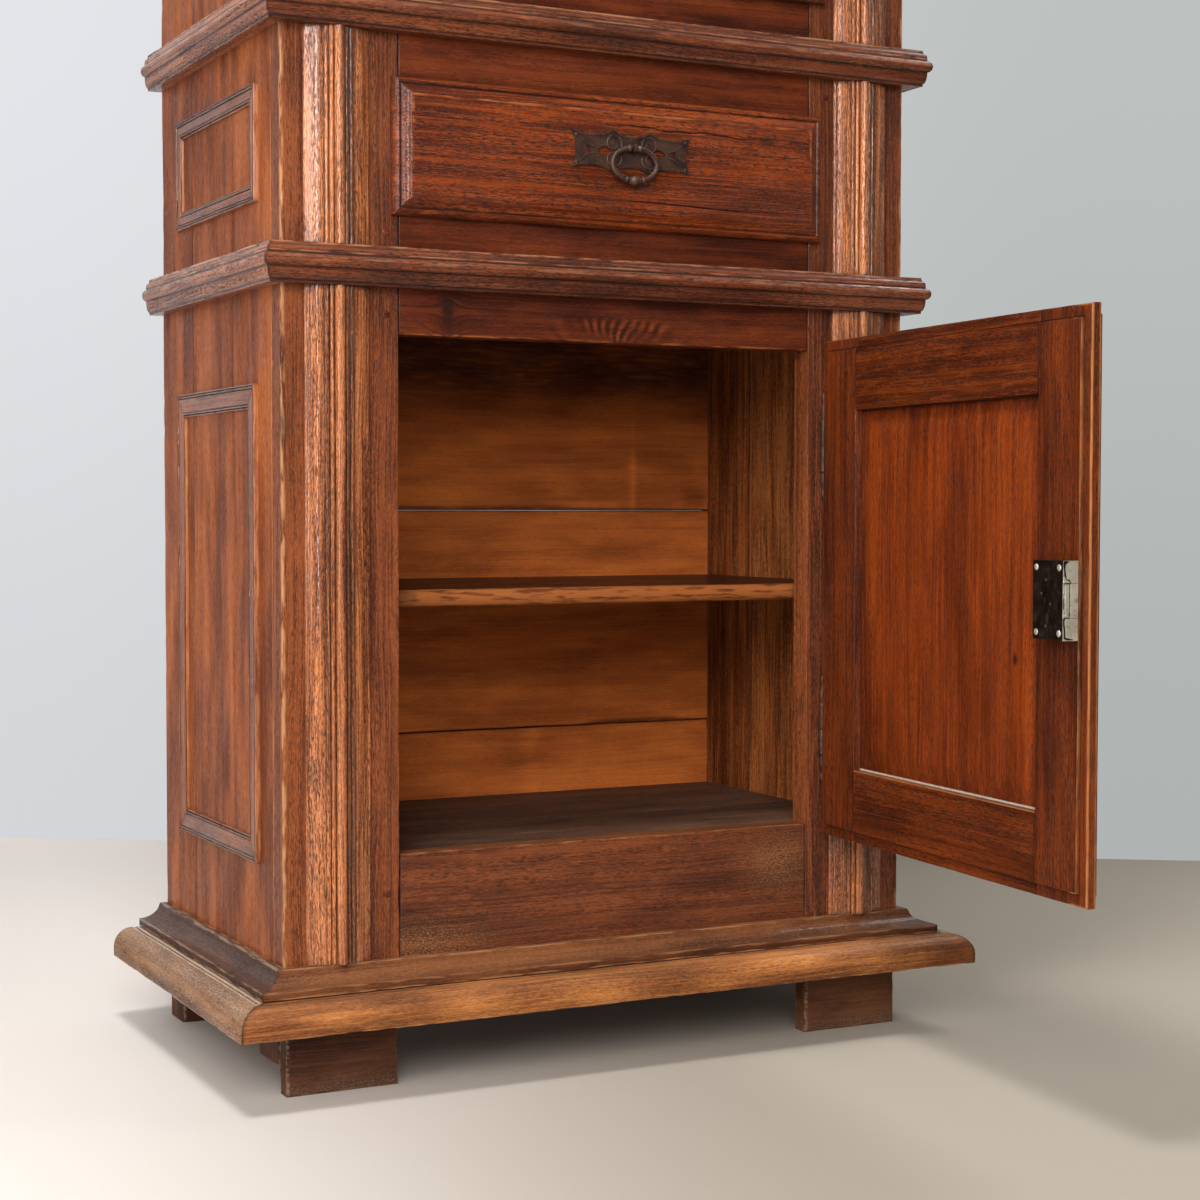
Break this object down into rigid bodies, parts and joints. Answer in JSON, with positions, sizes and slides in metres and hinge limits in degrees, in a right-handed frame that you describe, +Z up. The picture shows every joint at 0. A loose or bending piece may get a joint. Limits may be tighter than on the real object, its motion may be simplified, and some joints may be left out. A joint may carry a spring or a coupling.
{
  "type": "buffet cupboard",
  "caption": "Tall oak buffet cupboard with an upper and a lower door, a lipped drawer with a ring pull between waist mouldings, reeded corner posts, moulded plinth and block feet.",
  "frame": {"origin": "on the floor, under the middle of the whole object's box with the lower door standing open", "axes": "+Z up, the front with the doors and drawer faces -Y, +X to the right as seen from the front"},
  "size_m": [0.943, 1.0186, 1.9916],
  "materials": {
    "waxed_oak": "waxed, satin",
    "worn_oak": "waxed, worn",
    "inner_oak": "bare, matt",
    "dark_iron": "dark patina",
    "lock_steel": "blackened"
  },
  "bodies": {
    "case": {"front_left_foot": "worn_oak", "front_right_foot": "worn_oak", "back_left_foot": "worn_oak", "back_right_foot": "worn_oak", "plinth_front": "worn_oak", "plinth_left": "worn_oak", "plinth_right": "worn_oak", "left_post": "waxed_oak", "right_post": "waxed_oak", "bottom_rail": "waxed_oak", "drawer_sill_rail": "waxed_oak", "drawer_head_rail": "waxed_oak", "top_rail": "waxed_oak", "left_side": "waxed_oak", "right_side": "waxed_oak", "left_lower_side_frame": "waxed_oak", "left_drawer_side_frame": "waxed_oak", "left_upper_side_frame": "waxed_oak", "right_lower_side_frame": "waxed_oak", "right_drawer_side_frame": "waxed_oak", "right_upper_side_frame": "waxed_oak", "lower_waist_front": "waxed_oak", "lower_waist_left": "waxed_oak", "lower_waist_right": "waxed_oak", "upper_waist_front": "waxed_oak", "upper_waist_left": "waxed_oak", "upper_waist_right": "waxed_oak", "cornice": "waxed_oak", "top_board": "inner_oak", "lower_floor": "inner_oak", "drawer_board": "inner_oak", "upper_floor": "inner_oak", "lower_shelf": "inner_oak", "back_panel": "inner_oak", "lower_lower_hinge_post_half": "dark_iron", "lower_upper_hinge_post_half": "dark_iron", "upper_lower_hinge_post_half": "dark_iron", "upper_upper_hinge_post_half": "dark_iron"},
    "lower_door": {"lower_door_lock_stile": "waxed_oak", "lower_door_hinge_stile": "waxed_oak", "lower_door_bottom_rail": "waxed_oak", "lower_door_top_rail": "waxed_oak", "lower_door_panel": "waxed_oak", "lower_lower_hinge_door_half": "dark_iron", "lower_upper_hinge_door_half": "dark_iron", "lower_lock_case": "lock_steel"},
    "lower_bolt": {"lower_lock_bolt": "lock_steel"},
    "upper_door": {"upper_door_frame": "waxed_oak", "upper_door_panel": "waxed_oak", "upper_lower_hinge_door_half": "dark_iron", "upper_upper_hinge_door_half": "dark_iron", "upper_lock_case": "lock_steel"},
    "upper_bolt": {"upper_lock_bolt": "lock_steel"},
    "drawer": {"drawer_front": "waxed_oak", "drawer_left_side": "inner_oak", "drawer_right_side": "inner_oak", "drawer_back": "inner_oak", "drawer_bottom": "inner_oak", "handle_plate": "dark_iron"},
    "ring": {"ring_pull": "dark_iron"}
  },
  "joints": [
    {"name": "lower_door_hinge", "type": "hinge", "parent": "case", "child": "lower_door", "pos_m": [0.2865, 0.05285, 0.546], "axis": [0, 0, 1], "range_deg": [-85, 45]},
    {"name": "lower_bolt_slide", "type": "slide", "parent": "lower_door", "child": "lower_bolt", "axis": [-0.0872, -0.9962, 0], "range_m": [0, 0.008]},
    {"name": "upper_door_hinge", "type": "hinge", "parent": "case", "child": "upper_door", "pos_m": [0.2865, 0.05285, 1.548], "axis": [0, 0, 1], "range_deg": [0, 130]},
    {"name": "upper_bolt_slide", "type": "slide", "parent": "upper_door", "child": "upper_bolt", "axis": [-1, 0, 0], "range_m": [0, 0.008]},
    {"name": "drawer_slide", "type": "slide", "parent": "case", "child": "drawer", "axis": [0, -1, 0], "range_m": [0, 0.28]},
    {"name": "ring_swing", "type": "hinge", "parent": "drawer", "child": "ring", "pos_m": [0.012, 0.02755, 1.0541], "axis": [-1, 0, 0], "range_deg": [0, 95]}
  ]
}
